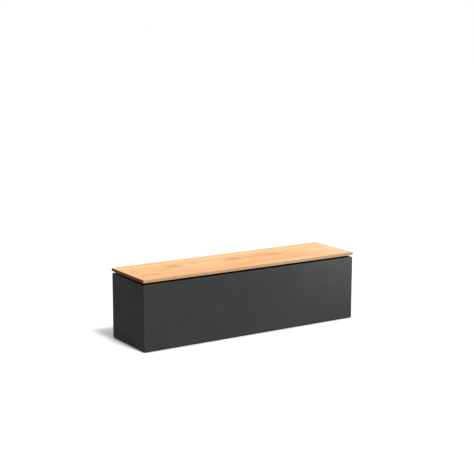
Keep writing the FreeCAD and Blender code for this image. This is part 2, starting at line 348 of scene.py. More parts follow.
def makeCoat(name, look):
    material, tree, shader = newMaterial(name)
    grain = placeGrain(tree, look)
    worn = placeWear(tree, look)
    dust = placeDust(tree, look)
    tone = byShade(tree, grain["Shade"], 1 - look["mottle"], 1 + look["mottle"])
    colour = blendColours(tree, 1.0, look["colour"], tone, "MULTIPLY")
    edge = calc(tree, "MULTIPLY", worn, look["edgeAmount"])
    colour = blendColours(tree, edge, colour, look["edgeColour"])
    colour = blendColours(tree, dust, colour, look["dustColour"])
    # painted shade on the top flange, in the gap under the seat
    if look["paintedShade"]:
        colour = addPaintedShade(tree, look, grain["Shade"], colour)
    rough = byShade(tree, grain["Shade"], look["roughness"] - look["roughSpread"],
                    look["roughness"] + look["roughSpread"])
    rough = calc(tree, "ADD", rough, calc(tree, "MULTIPLY", dust, look["dustRough"]), clamp=True)
    fill(tree, shader.inputs["Base Color"], colour)
    fill(tree, shader.inputs["Roughness"], rough)
    fill(tree, shader.inputs["Specular IOR Level"], look["gloss"])
    bumps = dent(tree, grain["Height"], look["grainStrength"], look["grainDepth"])
    fill(tree, shader.inputs["Normal"], bumps)
    return material


# zinc plate, on the screws, bolts, nuts and stems

zincLook = {
    "colour": (0.60, 0.61, 0.60),
    "warmColour": (0.58, 0.55, 0.45),
    "warmScale": 55.0,
    "warmPatches": (0.4, 0.7),
    "dullColour": (0.33, 0.33, 0.32),
    "dullAmount": 0.6,
    "dullPatches": (0.45, 0.75),
    "wornColour": (0.75, 0.75, 0.74),
    "wornAmount": 0.5,
    "wearReach": 0.0006,
    "wearBreakUp": 200.0,
    "roughness": 0.32,
    "roughRise": 0.22,
    "roughPatches": (0.3, 0.75),
    "grainSize": 0.0005,
    "grainStrength": 0.25,
    "grainDepth": 0.00006,
    "shadeSize": 0.012,
}


def makeZinc(name, look):
    material, tree, shader = newMaterial(name)
    grain = placeGrain(tree, look)
    worn = placeWear(tree, look)
    warm = spread(tree, cloud(tree, objectPoint(tree), look["warmScale"]), *look["warmPatches"])
    colour = blendColours(tree, warm, look["colour"], look["warmColour"])
    dull = calc(tree, "MULTIPLY", spread(tree, grain["Shade"], *look["dullPatches"]), look["dullAmount"])
    colour = blendColours(tree, dull, colour, look["dullColour"])
    worn = calc(tree, "MULTIPLY", worn, look["wornAmount"])
    colour = blendColours(tree, worn, colour, look["wornColour"])
    rough = byShade(tree, grain["Shade"], look["roughness"], look["roughness"] + look["roughRise"],
                    *look["roughPatches"])
    fill(tree, shader.inputs["Base Color"], colour)
    fill(tree, shader.inputs["Metallic"], 1.0)
    fill(tree, shader.inputs["Roughness"], rough)
    bumps = dent(tree, grain["Height"], look["grainStrength"], look["grainDepth"])
    fill(tree, shader.inputs["Normal"], bumps)
    return material


# black nylon and rubber, on the pads, plugs and buffers

mouldedLook = {
    "mottle": 0.15,
    "roughSpread": 0.06,
    "grainStrength": 0.4,
    "shadeSize": 0.03,
    "wornColour": (0.07, 0.07, 0.07),
    "wornAmount": 0.4,
    "wearReach": 0.0008,
    "wearBreakUp": 120.0,
    "dustColour": (0.15, 0.14, 0.125),
    "settled": 0.4,
    "splashed": 0.3,
    "splashHeight": 0.02,
}

nylonLook = dict(mouldedLook, colour=(0.022, 0.022, 0.023), roughness=0.48, grainSize=0.0007,
                 grainDepth=0.00008)
rubberLook = dict(mouldedLook, colour=(0.018, 0.018, 0.017), roughness=0.78, grainSize=0.0011,
                  grainDepth=0.00015)


def makeMoulded(name, look):
    material, tree, shader = newMaterial(name)
    grain = placeGrain(tree, look)
    worn = calc(tree, "MULTIPLY", placeWear(tree, look), look["wornAmount"])
    dust = placeDust(tree, look)
    tone = byShade(tree, grain["Shade"], 1 - look["mottle"], 1 + look["mottle"])
    colour = blendColours(tree, 1.0, look["colour"], tone, "MULTIPLY")
    colour = blendColours(tree, worn, colour, look["wornColour"])
    colour = blendColours(tree, dust, colour, look["dustColour"])
    rough = byShade(tree, grain["Shade"], look["roughness"] - look["roughSpread"],
                    look["roughness"] + look["roughSpread"])
    fill(tree, shader.inputs["Base Color"], colour)
    fill(tree, shader.inputs["Roughness"], rough)
    bumps = dent(tree, grain["Height"], look["grainStrength"], look["grainDepth"])
    fill(tree, shader.inputs["Normal"], bumps)
    return material


# timber of the seat board: rings round a heart that lies below the board, so that the faces,
# the edges and the end grain all belong to one piece of wood

timberLook = {
    "light": (0.94, 0.525, 0.255),
    "dark": (0.87, 0.42, 0.175),
    "paleRear": (0.95, 0.667, 0.345),
    "paleRearFrom": -0.20,  # across the board
    "paleRearTo": 0.22,
    "paleRearWaver": 1.5,
    "palePatchColour": (0.98, 0.88, 0.53),
    "streak": (0.66, 0.245, 0.075),
    "streakShare": (0.60, 0.95),  # between the rings and on them
    "knot": (0.38, 0.145, 0.055),
    "sideGrain": (1.0, 0.665, 0.405),
    "sideAmount": 0.6,
    "turned": (0.6, 0.9),  # how far a face is turned, from the top's colour to its own
    "endGrain": (0.31, 0.175, 0.105),
    "endRing": (0.13, 0.07, 0.04),
    "endRough": 0.25,
    "arris": (0.55, 0.28, 0.12),
    "arrisAmount": 0.3,
    "wearReach": 0.0022,
    "wearBreakUp": 25.0,
    "heartY": -0.06,
    "heartZ": 0.30,
    "ringWidth": 0.0065,
    "ringAmount": 0.30,
    "ringDepth": 0.15,
    "ringRise": (0.35, 0.92),  # share of a ring over which late wood darkens
    "ringFall": (1.0, 0.93),
    "waver": 0.088,
    "waverScale": (1.6, 7.0, 7.0),
    "waverNoise": (3.0, 0.55),  # detail and roughness of a cloud
    "bend": 0.02,  # of the rings round a knot
    "wander": (0.10, 0.02, 0.0),  # of the figure's outlines
    "wanderScale": (5.0, 30.0, 30.0),
    "wanderDetail": 3.0,
    "fibreScale": (9.0, 900.0, 900.0),
    "fibreNoise": (3.0, 0.6),
    "fibreAmount": 0.25,
    "fibres": (0.30, 0.80),
    "bandScale": (1.2, 26.0, 26.0),
    "bandNoise": (3.0, 0.55),
    "bandAmount": 0.55,
    "bands": (0.30, 0.75),
    "poreScale": (60.0, 2200.0, 2200.0),
    "poreNoise": (1.0, 0.5),
    "pores": (0.66, 0.74),
    "poreAmount": 0.35,
    "poreDepth": 0.6,
    "roughness": 0.58,
    "smoother": 0.05,
    "rougher": 0.08,
    "gloss": 0.12,
    "dentStrength": 0.25,
    "dentDepth": 0.00025,
}

# pale and dark patches on the board: middle along and across the board, half length, half width, strength
paleFigure = [
    (0.820, -0.050, 0.430, 0.260, 0.95),
    (-0.600, 0.115, 0.200, 0.050, 0.25),
    (-0.200, 0.010, 0.130, 0.070, 0.20),
    (0.400, -0.200, 0.400, 0.060, 0.42),
]

darkFigure = [
    (0.000, 0.038, 0.140, 0.046, 0.97),
    (0.300, 0.030, 0.160, 0.036, 0.90),
    (0.140, 0.035, 0.170, 0.038, 0.52),
    (-0.520, -0.010, 0.170, 0.080, 0.40),
    (0.240, 0.075, 0.170, 0.032, 0.45),
    (-0.455, 0.038, 0.085, 0.040, 0.95),
    (-0.720, 0.052, 0.045, 0.018, 0.45),
    (-0.300, 0.055, 0.030, 0.014, 0.50),
    (0.160, -0.100, 0.110, 0.022, 0.50),
    (-0.690, -0.100, 0.110, 0.040, 0.45),
    (-0.010, -0.130, 0.110, 0.050, 0.35),
    (-0.170, -0.150, 0.060, 0.020, 0.40),
    (0.430, -0.110, 0.100, 0.018, 0.35),
]

# small knots, in the same way: each lies in a dark patch
knots = [
    (0.004, 0.041, 0.013, 0.008, 1.0),
    (0.305, 0.031, 0.014, 0.009, 1.0),
    (-0.452, 0.040, 0.012, 0.008, 1.0),
    (-0.722, 0.053, 0.008, 0.006, 0.9),
    (-0.300, 0.055, 0.007, 0.005, 0.9),
]


def figureMask(tree, point, figure, core=0.1):
    # soft patches, long with the grain, full inside their core; the strongest one wins
    total = 0.0
    for along, across, halfLength, halfWidth, strength in figure:
        near = scaled(tree, point, (1 / halfLength, 1 / halfWidth, 0),
                      (-along / halfLength, -across / halfWidth, 0))
        away = vectorMath(tree, "LENGTH", near, output="Value")
        patch = calc(tree, "MULTIPLY", spread(tree, away, 1.0, core), strength)
        total = calc(tree, "MAXIMUM", patch, total)
    return total


def drawnOutCloud(tree, point, scale, noise):
    # a cloud drawn out along the board
    return cloud(tree, scaled(tree, point, scale), 1.0, *noise)


def ringRadius(tree, look, point, waver):
    # how far a point lies from the heart of the tree
    board = axes(tree, point)
    across = calc(tree, "SUBTRACT", board["Y"], look["heartY"])
    upward = calc(tree, "SUBTRACT", board["Z"], look["heartZ"])
    squares = calc(tree, "ADD", calc(tree, "MULTIPLY", across, across),
                   calc(tree, "MULTIPLY", upward, upward))
    return calc(tree, "ADD", calc(tree, "SQRT", squares), waver)


def wanderingPoint(tree, look, point):
    noise = putNode(tree, "ShaderNodeTexNoise", {
        "Vector": scaled(tree, point, look["wanderScale"]), "Scale": 1.0, "Detail": look["wanderDetail"]})
    shift = vectorMath(tree, "SUBTRACT", noise.outputs["Color"], (0.5, 0.5, 0.5))
    shift = vectorMath(tree, "MULTIPLY", shift, look["wander"])
    return vectorMath(tree, "ADD", point, shift)


def makeTimber(name, look):
    material, tree, shader = newMaterial(name)
    point = objectPoint(tree)
    waver = drawnOutCloud(tree, point, look["waverScale"], look["waverNoise"])
    waver = calc(tree, "MULTIPLY", calc(tree, "SUBTRACT", waver, 0.5), look["waver"])
    outlines = wanderingPoint(tree, look, point)
    figure = figureMask(tree, outlines, darkFigure)
    paleness = figureMask(tree, outlines, paleFigure)
    knotMask = figureMask(tree, outlines, knots)
    radius = ringRadius(tree, look, point, waver)
    radius = calc(tree, "ADD", radius, calc(tree, "MULTIPLY", figure, look["bend"]))
    rings = calc(tree, "FRACT", calc(tree, "DIVIDE", radius, look["ringWidth"]))
    lateWood = calc(tree, "MULTIPLY", spread(tree, rings, *look["ringRise"]),
                    spread(tree, rings, *look["ringFall"]))
    fibres = drawnOutCloud(tree, point, look["fibreScale"], look["fibreNoise"])
    bands = drawnOutCloud(tree, point, look["bandScale"], look["bandNoise"])
    pores = drawnOutCloud(tree, point, look["poreScale"], look["poreNoise"])
    pores = spread(tree, pores, *look["pores"])

    # colour with the grain
    ringShare = calc(tree, "MULTIPLY", lateWood, look["ringAmount"])
    bandShare = spread(tree, bands, *look["bands"], 0.0, look["bandAmount"])
    fibreShare = spread(tree, fibres, *look["fibres"], 0.0, look["fibreAmount"])
    share = calc(tree, "ADD", calc(tree, "ADD", ringShare, bandShare), fibreShare, clamp=True)
    # the top grows paler and yellower towards the rear, and paler in the pale patches
    rearward = calc(tree, "ADD", axes(tree, point)["Y"], calc(tree, "MULTIPLY", waver, look["paleRearWaver"]))
    paleRear = spread(tree, rearward, look["paleRearFrom"], look["paleRearTo"])
    pale = blendColours(tree, paleRear, look["light"], look["paleRear"])
    pale = blendColours(tree, paleness, pale, look["palePatchColour"])
    colour = blendColours(tree, share, pale, look["dark"])
    lined = calc(tree, "MULTIPLY", figure, spread(tree, lateWood, 0.0, 1.0, *look["streakShare"]))
    colour = blendColours(tree, lined, colour, look["streak"])
    colour = blendColours(tree, knotMask, colour, look["knot"])
    colour = blendColours(tree, calc(tree, "MULTIPLY", pores, look["poreAmount"]), colour, look["streak"])

    # the long edges, the ends and the worn arrises
    facing = axes(tree, putNode(tree, "ShaderNodeTexCoord").outputs["Normal"])
    sidewise = spread(tree, calc(tree, "ABSOLUTE", facing["Y"]), *look["turned"], 0.0, look["sideAmount"])
    colour = blendColours(tree, sidewise, colour, look["sideGrain"])
    endwise = spread(tree, calc(tree, "ABSOLUTE", facing["X"]), *look["turned"])
    endShade = blendColours(tree, ringShare, look["endGrain"], look["endRing"])
    colour = blendColours(tree, endwise, colour, endShade)
    worn = calc(tree, "MULTIPLY", placeWear(tree, look), look["arrisAmount"])
    colour = blendColours(tree, worn, colour, look["arris"])

    rough = spread(tree, fibres, *look["fibres"], look["roughness"] - look["smoother"],
                   look["roughness"] + look["rougher"])
    rough = calc(tree, "ADD", rough, calc(tree, "MULTIPLY", endwise, look["endRough"]), clamp=True)
    height = calc(tree, "SUBTRACT", fibres, calc(tree, "MULTIPLY", pores, look["poreDepth"]))
    height = calc(tree, "SUBTRACT", height, calc(tree, "MULTIPLY", lateWood, look["ringDepth"]))
    fill(tree, shader.inputs["Base Color"], colour)
    fill(tree, shader.inputs["Roughness"], rough)
    fill(tree, shader.inputs["Specular IOR Level"], look["gloss"])
    fill(tree, shader.inputs["Normal"], dent(tree, height, look["dentStrength"], look["dentDepth"]))
    return material


powderCoat = makeCoat("powderCoat", coatLook)
innerCoat = makeCoat("innerCoat", innerLook)
frameCoat = makeCoat("frameCoat", frameLook)
zincPlate = makeZinc("zincPlate", zincLook)
blackNylon = makeMoulded("blackNylon", nylonLook)
blackRubber = makeMoulded("blackRubber", rubberLook)
oiledTimber = makeTimber("oiledTimber", timberLook)

finishes = {
    "powder_coat": powderCoat,
    "inner_coat": innerCoat,
    "frame_coat": frameCoat,
    "zinc_steel": zincPlate,
    "black_plastic": blackNylon,
    "rubber": blackRubber,
    "timber": oiledTimber,
}


def dressNodes():
    for part in frame["record"]["subparts"]:
        piece = nodes[part["node"]]
        for slot in piece.material_slots:
            slot.link = "OBJECT"
            slot.material = finishes[part["material_slot"]]


dressNodes()
print("materials made and put on the frame's nodes")

# meshes for the small pieces, built ring by ring


def around(count):
    return [2 * math.pi * k / count for k in range(count)]


def flatReach(sides, across, angle):
    # from the middle of a polygon to its outline, with a corner at angle 0
    step = 2 * math.pi / sides
    return across / 2 / math.cos(angle % step - step / 2)


def ringAt(radii, heights):
    turns = around(len(radii))
    return [Vector((r * math.cos(t), r * math.sin(t), z)) for r, t, z in zip(radii, turns, heights)]


def evenRing(radius, height, count):
    return ringAt([radius] * count, [height] * count)


def joinRings(rings, looped=False):
    # quads between neighbouring rings, and flat ends unless the last ring meets the first
    count = len(rings[0])
    last = len(rings) - 1
    pairs = [(i, i + 1) for i in range(last)] + ([(last, 0)] if looped else [])
    faces = []
    for low, high in pairs:
        for k in range(count):
            after = (k + 1) % count
            faces.append((low * count + k, low * count + after, high * count + after, high * count + k))
    if not looped:
        faces.append(tuple(range(count)))
        faces.append(tuple(range(last * count, len(rings) * count)))
    return [point for ring in rings for point in ring], faces


def hexRings(look, height, bothEnds=False):
    # a hexagon from 0 to height, its corners turned off to a circle at the top or at both ends
    count = look["points"]
    reach = [flatReach(6, look["across"], turn) for turn in around(count)]
    circle = look["across"] / 2 * look["circleShare"]
    fall = [(r - circle) * math.tan(math.radians(look["cornerSlope"])) for r in reach]
    low = fall if bothEnds else [0.0] * count
    rings = [ringAt(reach, low), ringAt(reach, [height - drop for drop in fall])]
    rings.append(evenRing(circle, height, count))
    return [evenRing(circle, 0.0, count)] + rings if bothEnds else rings


def nutShape(look, height):
    # both ends chamfered outside and countersunk inside
    count = look["points"]
    bore = look["bore"]
    sink = look["sink"]
    rings = hexRings(look, height, True)
    for radius, level in ((bore + sink, height), (bore, height - sink), (bore, sink), (bore + sink, 0.0)):
        rings.append(evenRing(radius, level, count))
    return joinRings(rings, True)


def threadShape(look, length):
    # rows of points that climb with the thread, four to a turn, from 0 to length
    count = look["points"]
    pitch = look["pitch"]
    # share of the pitch, and radius
    profile = [(0.0, look["root"]), (0.25, look["root"]), (0.5625, look["crest"]), (0.6875, look["crest"])]
    start = look["firstRow"]
    rows = 4 * int((length - start - pitch * look["endTurns"]) / pitch)

    def limited(radius, height):
        top = look["tip"] + (length - height) / look["endLead"] * (look["crest"] - look["tip"])
        foot = look["crest"]
        if look["startLead"]:
            foot = look["tip"] + height / look["startLead"] * (look["crest"] - look["tip"])
        return min(radius, top, foot)

    def corner(k, j):
        height = start + pitch * (j // 4 + profile[j % 4][0] + k / count)
        radius = limited(profile[j % 4][1], height)
        turn = 2 * math.pi * k / count
        return Vector((radius * math.cos(turn), radius * math.sin(turn), height))

    points = []
    spot = {}
    for k in range(count):
        for j in range(rows + (5 if k == 0 else 1)):
            spot[k, j] = len(points)
            points.append(corner(k, j))
    for j in range(rows + 1):
        spot[count, j] = spot[0, j + 4]
    footRing = list(range(len(points), len(points) + count))
    points += evenRing(limited(look["root"], 0.0), 0.0, count)
    topRing = list(range(len(points), len(points) + count))
    points += evenRing(look["tip"], length, count)
    faces = [(spot[k, j], spot[k + 1, j], spot[k + 1, j + 1], spot[k, j + 1])
             for k in range(count) for j in range(rows)]
    for k in range(count - 1):
        faces.append((footRing[k], footRing[k + 1], spot[k + 1, 0], spot[k, 0]))
        faces.append((spot[k + 1, rows], spot[k + 2, rows], topRing[(k + 2) % count], topRing[k + 1]))
    faces.append((footRing[-1], footRing[0], *[spot[0, j] for j in range(5)], spot[count - 1, 0]))
    faces.append((spot[0, rows], spot[1, rows], topRing[1], topRing[0],
                  *[spot[0, rows + j] for j in (4, 3, 2, 1)]))
    faces.append(tuple(footRing))
    return points, faces, topRing


def beadShape(start, end, oneFoot, otherFoot, crown, look):
    # a weld bead along a line, rippled, with its middle leading; the feet are the edges of
    # its section, measured from the line
    run = end - start
    perRipple = len(look["rippleShape"])
    count = max(2, round(run.length / look["ripple"])) * perRipple
    shares = (0.0, 0.25, 0.5, 0.75, 1.0)
    rings = []
    for i in range(count + 1):
        along = run.length * i / count
        fade = min(1.0, along / look["fade"], (run.length - along) / look["fade"])
        size = look["endSize"] + (1 - look["endSize"]) * math.sin(fade * math.pi / 2)
        swell = 1 + look["rippleDepth"] * look["rippleShape"][i % perRipple]
        ring = []
        for share in shares:
            arch = 4 * share * (1 - share)
            point = oneFoot.lerp(otherFoot, share) + crown * (arch * swell)
            lead = run.normalized() * (look["lead"] * arch * fade)
            ring.append(start + run * (i / count) + point * size + lead)
        ring.append(start + run * (i / count) - crown * look["sunk"])
        rings.append(ring)
    return joinRings(rings)


def solidBoxes(node):
    # lowest and highest corner of each separate solid in a node
    shape = bmesh.new()
    shape.from_mesh(nodes[node].data)
    bmesh.ops.remove_doubles(shape, verts=shape.verts, dist=1e-6)
    left = set(shape.verts)
    boxes = []
    while left:
        found = [left.pop()]
        for vertex in found:
            for edge in vertex.link_edges:
                other = edge.other_vert(vertex)
                if other in left:
                    left.remove(other)
                    found.append(other)
        spots = [vertex.co for vertex in found]
        boxes.append([[pick(spot[i] for spot in spots) for i in range(3)] for pick in (min, max)])
    shape.free()
    return [(Vector(low), Vector(high)) for low, high in sorted(boxes)]


def addPiece(name, shapes, body, slot, *replaced, smoothBelow=32.0):
    # one object from (points, faces) shapes in the frame's own place, shaded smooth across
    # edges that turn by less than smoothBelow degrees
    solid = bmesh.new()
    for points, faces in shapes:
        corners = [solid.verts.new(point) for point in points]
        for face in faces:
            solid.faces.new([corners[i] for i in face])
    bmesh.ops.recalc_face_normals(solid, faces=solid.faces)
    mesh = bpy.data.meshes.new(name)
    solid.to_mesh(mesh)
    solid.free()
    mesh.shade_smooth()
    mesh.set_sharp_from_angle(angle=math.radians(smoothBelow))
    mesh.materials.append(finishes[slot])
    piece = bpy.data.objects.new(name, mesh)
    bpy.context.scene.collection.objects.link(piece)
    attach(piece, body)
    if replaced:
        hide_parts(*replaced)


def moved(shape, spot, facing=Vector((0, 0, 1))):
    # a shape built from 0 upwards, set at a spot and turned to face a direction
    turn = Vector((0, 0, 1)).rotation_difference(facing)
    return [spot + turn @ Vector(point) for point in shape[0]], shape[1]


def nodesNamed(start):
    return [name for name in nodes if name.startswith(start)]


def underMiddle(low, high):
    return Vector(((low[0] + high[0]) / 2, (low[1] + high[1]) / 2, low[2]))


def boltShapes(hexagon, thread, headFace, towards, length):
    # a hexagon head on one side of the face under it, and a threaded shaft on the other
    head = joinRings(hexRings(hexagon, hexagon["headHeight"]))
    points, faces, topRing = threadShape(thread, length)
    shaft = points, faces + [tuple(topRing)]
    return [moved(head, headFace, -towards), moved(shaft, headFace, towards)]


# levelling feet: threaded stems with a key socket, under the trough's end bearers

stemLook = {
    "points": 24,
    "pitch": 0.00175,
    "crest": 0.006,
    "root": 0.00493,
    "tip": 0.0047,
    "firstRow": 0.00024,  # height of the thread's first row, clear of the foot
    "endTurns": 1.15,  # pitches between the last full turn and the top
    "startLead": 0.0012,
    "endLead": 0.0012,
    "key": 0.006,
    "keyDepth": 0.007,
    "keyPoint": 0.0012,
}


def makeStems(look):
    for name in nodesNamed("foot_stem_"):
        low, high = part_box(name)
        length = high[2] - low[2]
        points, faces, topRing = threadShape(look, length)
        count = look["points"]
        reach = [flatReach(6, look["key"], turn) for turn in around(count)]
        previous = topRing
        for level in (length, length - look["keyDepth"]):
            ring = list(range(len(points), len(points) + count))
            points += ringAt(reach, [level] * count)
            for k in range(count):
                after = (k + 1) % count
                faces.append((previous[k], previous[after], ring[after], ring[k]))
            previous = ring
        points.append(Vector((0, 0, length - look["keyDepth"] - look["keyPoint"])))
        for k in range(count):
            faces.append((previous[k], previous[(k + 1) % count], len(points) - 1))
        addPiece("threadedStem" + name[len("foot_stem"):],
                 [moved((points, faces), underMiddle(low, high))],
                 name[len("foot_"):], "zinc_steel", name)


footNutLook = {
    "points": 24,
    "across": 0.019,
    "circleShare": 0.95,
    "cornerSlope": 30.0,
    "bore": 0.00605,
    "sink": 0.0007,
}

nutWeldLook = {
    "leg": 0.0024,
    "points": 72,
    "ripples": 24,
    "crown": 0.0004,
    "rippleDepth": 0.00025,
    "widest": 0.56,  # of the nut's width, where the bead rounds its corners
}


def makeFootNuts(look, weld):
    nuts = []
    beads = []
    for low, high in solidBoxes("foot_nuts"):
        foot = underMiddle(low, high)
        nuts.append(moved(nutShape(look, high.z - low.z), foot))
        rings = []
        leg = weld["leg"]
        for k, turn in enumerate(around(weld["points"])):
            reach = min(flatReach(6, look["across"], turn), look["across"] * weld["widest"])
            swell = weld["crown"] + weld["rippleDepth"] * (k * weld["ripples"] / weld["points"] % 1.0)
            section = ((0.0, 0.0), (0.0, -leg), (leg / 2 + swell, -leg / 2 - swell), (leg, 0.0))
            rings.append([Vector(((reach + out) * math.cos(turn), (reach + out) * math.sin(turn), up))
                          for out, up in section])
        beads.append(moved(joinRings(rings, True), Vector((foot.x, foot.y, high.z))))
    addPiece("footNuts", nuts, "trough", "zinc_steel", "foot_nuts")
    addPiece("footNutWelds", beads, "trough", "inner_coat")


# section of a pad from the middle of its underside, out and over to the floor of its socket:
# radius, height and how far its ribs stand up there
padLook = {
    "points": 64,
    "ribs": 8,
    "section": [
        (0.0104, 0.0004, 0.0), (0.0108, 0.0, 0.0), (0.0173, 0.0, 0.0), (0.0178, 0.0003, 0.0),
        (0.0180, 0.0009, 0.0), (0.0180, 0.0019, 0.0), (0.0178, 0.0024, 0.0), (0.0172, 0.0027, 0.0),
        (0.0163, 0.0028, 0.0), (0.0160, 0.0029, 0.0006), (0.0112, 0.0034, 0.0011), (0.0103, 0.0037, 0.0010),
        (0.0097, 0.0044, 0.0), (0.0095, 0.0052, 0.0), (0.0091, 0.0056, 0.0), (0.0086, 0.0057, 0.0),
        (0.0065, 0.0057, 0.0), (0.00605, 0.0053, 0.0), (0.00605, 0.0017, 0.0),
    ],
}


def turnedShape(look):
    # a section turned round, with ribs two points wide
    count = look["points"]
    every = count // look["ribs"]
    rings = []
    for radius, height, rib in look["section"]:
        heights = [height + (rib if k % every < 2 else 0.0) for k in range(count)]
        rings.append(ringAt([radius] * count, heights))
    return joinRings(rings)


def makePads(look):
    for name in nodesNamed("foot_pad_"):
        foot = underMiddle(*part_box(name))
        addPiece("mouldedPad" + name[len("foot_pad"):], [moved(turnedShape(look), foot)],
                 name[len("foot_"):], "black_plastic", name)


makeStems(stemLook)
makeFootNuts(footNutLook, nutWeldLook)
makePads(padLook)
print("feet detailed")

# plugs in the tray: a hollow barrel with a snap ridge, and a round head with a dished top

plugLook = {
    "points": 48,
    "ribs": 8,
    "section": [
        (0.0052, 0.0050, 0.0), (0.0056, 0.0004, 0.0), (0.0060, 0.0, 0.0), (0.0067, 0.0, 0.0),
        (0.0074, 0.0008, 0.0), (0.0079, 0.0014, 0.0), (0.0079, 0.0018, 0.0), (0.0075, 0.0023, 0.0),
        (0.0075, 0.0050, 0.0), (0.0117, 0.0050, 0.0), (0.0120, 0.0052, 0.0), (0.0120, 0.0058, 0.0),
        (0.0116, 0.0064, 0.0), (0.0108, 0.0068, 0.0), (0.0098, 0.0070, 0.0), (0.0085, 0.0070, 0.0),
        (0.0080, 0.0068, 0.0), (0.0077, 0.0064, 0.0),
    ],
}


def makeTrayPlugs(look):
    plugs = [moved(turnedShape(look), underMiddle(*box)) for box in solidBoxes("tray_plugs")]
    addPiece("mouldedPlugs", plugs, "trough", "black_plastic", "tray_plugs")


makeTrayPlugs(plugLook)
print("tray plugs moulded")

# rubber buffers under the seat's rails, with round corners and eased edges

bufferLook = {
    "corner": 0.0035,
    "cornerPoints": 6,
    "ease": 0.0004,
}


def roundedOutline(halfLength, halfWidth, radius, perCorner):
    spots = []
    for side, (x, y) in enumerate(((1, 1), (-1, 1), (-1, -1), (1, -1))):
        for step in range(perCorner + 1):
            turn = math.pi / 2 * (side + step / perCorner)
            spots.append((x * (halfLength - radius) + radius * math.cos(turn),
                          y * (halfWidth - radius) + radius * math.sin(turn)))
    return spots


def makeBuffers(look):
    buffers = []
    for low, high in solidBoxes("seat_buffers"):
        middle = (low + high) / 2
        half = (high - low) / 2
        ease = look["ease"]
        rings = []
        for inset, level in ((ease, low.z), (0.0, low.z + ease), (0.0, high.z - ease), (ease, high.z)):
            outline = roundedOutline(half.x - inset, half.y - inset, look["corner"] - inset,
                                     look["cornerPoints"])
            rings.append([Vector((middle.x + x, middle.y + y, level)) for x, y in outline])
        buffers.append(joinRings(rings))
    addPiece("rubberBuffers", buffers, "seat", "rubber", "seat_buffers")


makeBuffers(bufferLook)
print("seat buffers moulded")

# bolts and nuts of the cross ties

tieHexLook = {
    "points": 24,
    "across": 0.010,
    "circleShare": 0.95,
    "cornerSlope": 30.0,
    "bore": 0.00305,
    "sink": 0.0004,
    "headHeight": 0.004,
}

tieThreadLook = {
    "points": 20,
    "pitch": 0.001,
    "crest": 0.003,
    "root": 0.00239,
    "tip": 0.0022,
    "firstRow": 0.00005,
    "endTurns": 1.15,
    "startLead": 0.0,
    "endLead": 0.0009,
}


def makeTieFasteners(hexagon, thread):
    bolts = []
    for low, high in solidBoxes("tie_bolts"):
        middle = (low + high) / 2
        outward = Vector((0, 1 if middle.y > 0 else -1, 0))
        innerEnd = low.y if middle.y > 0 else high.y
        headFace = Vector((middle.x, innerEnd, middle.z)) + outward * hexagon["headHeight"]
        length = high.y - low.y - hexagon["headHeight"]
        bolts += boltShapes(hexagon, thread, headFace, outward, length)
    addPiece("tieBolts", bolts, "trough", "zinc_steel", "tie_bolts")
    nuts = []
    for low, high in solidBoxes("tie_nuts"):
        middle = (low + high) / 2
        face = Vector((middle.x, low.y, middle.z))
        nuts.append(moved(nutShape(hexagon, high.y - low.y), face, Vector((0, 1, 0))))
    addPiece("tieNuts", nuts, "trough", "zinc_steel", "tie_nuts")


makeTieFasteners(tieHexLook, tieThreadLook)
print("tie bolts and nuts detailed")

# screws through the crossbars into the board

screwHexLook = {
    "points": 24,
    "across": 0.010,
    "circleShare": 0.95,
    "cornerSlope": 30.0,
    "headHeight": 0.003,
}

screwThreadLook = {
    "points": 16,
    "pitch": 0.0022,
    "crest": 0.0025,
    "root": 0.0017,
    "tip": 0.0004,
    "firstRow": 0.00011,
    "endTurns": 1.15,
    "startLead": 0.0,
    "endLead": 0.005,
}


def makeSeatScrews(hexagon, thread):
    screws = []
    for low, high in solidBoxes("seat_screws"):
        upward = Vector((0, 0, 1))
        headFace = underMiddle(low, high) + upward * hexagon["headHeight"]
        screws += boltShapes(hexagon, thread, headFace, upward, high.z - headFace.z)
    addPiece("seatScrews", screws, "seat", "zinc_steel", "seat_screws")


makeSeatScrews(screwHexLook, screwThreadLook)
print("seat screws detailed")

# weld beads: up the trough's corners, along the ribs and across the joints of the seat's frame

weldLook = {
    "ripple": 0.0018,
    "rippleDepth": 0.55,
    "rippleShape": (0.0, 1.0, 0.6),
    "lead": 0.0005,
    "fade": 0.004,
    "endSize": 0.35,
    "sunk": 0.0,  # how far the bead's back lies in the metal, as a share of its crown
}

frameWeldLook = dict(weldLook, sunk=0.4)

beadSizes = {
    "cornerCrown": 0.00045,
    "ribLeg": 0.0020,
    "ribCrown": 0.0003,
    "ribStitch": 0.030,
    "ribStitches": 3,
    "frameHalfWidth": 0.0028,
    "frameCrown": 0.0007,
    "frameShort": 0.003,
}


def makeCornerBeads(look, sizes):
    beads = []
    for low, high in solidBoxes("corner_welds"):
        middle = (low + high) / 2
        x = high.x if middle.x > 0 else low.x
        y = high.y if middle.y > 0 else low.y
        inX = Vector((low.x + high.x - 2 * x, 0, 0))
        inY = Vector((0, low.y + high.y - 2 * y, 0))
        crown = (inX + inY).normalized() * sizes["cornerCrown"]
        beads.append(beadShape(Vector((x, y, low.z)), Vector((x, y, high.z)), inX, inY, crown, look))
    addPiece("cornerBeads", beads, "trough", "inner_coat", "corner_welds")


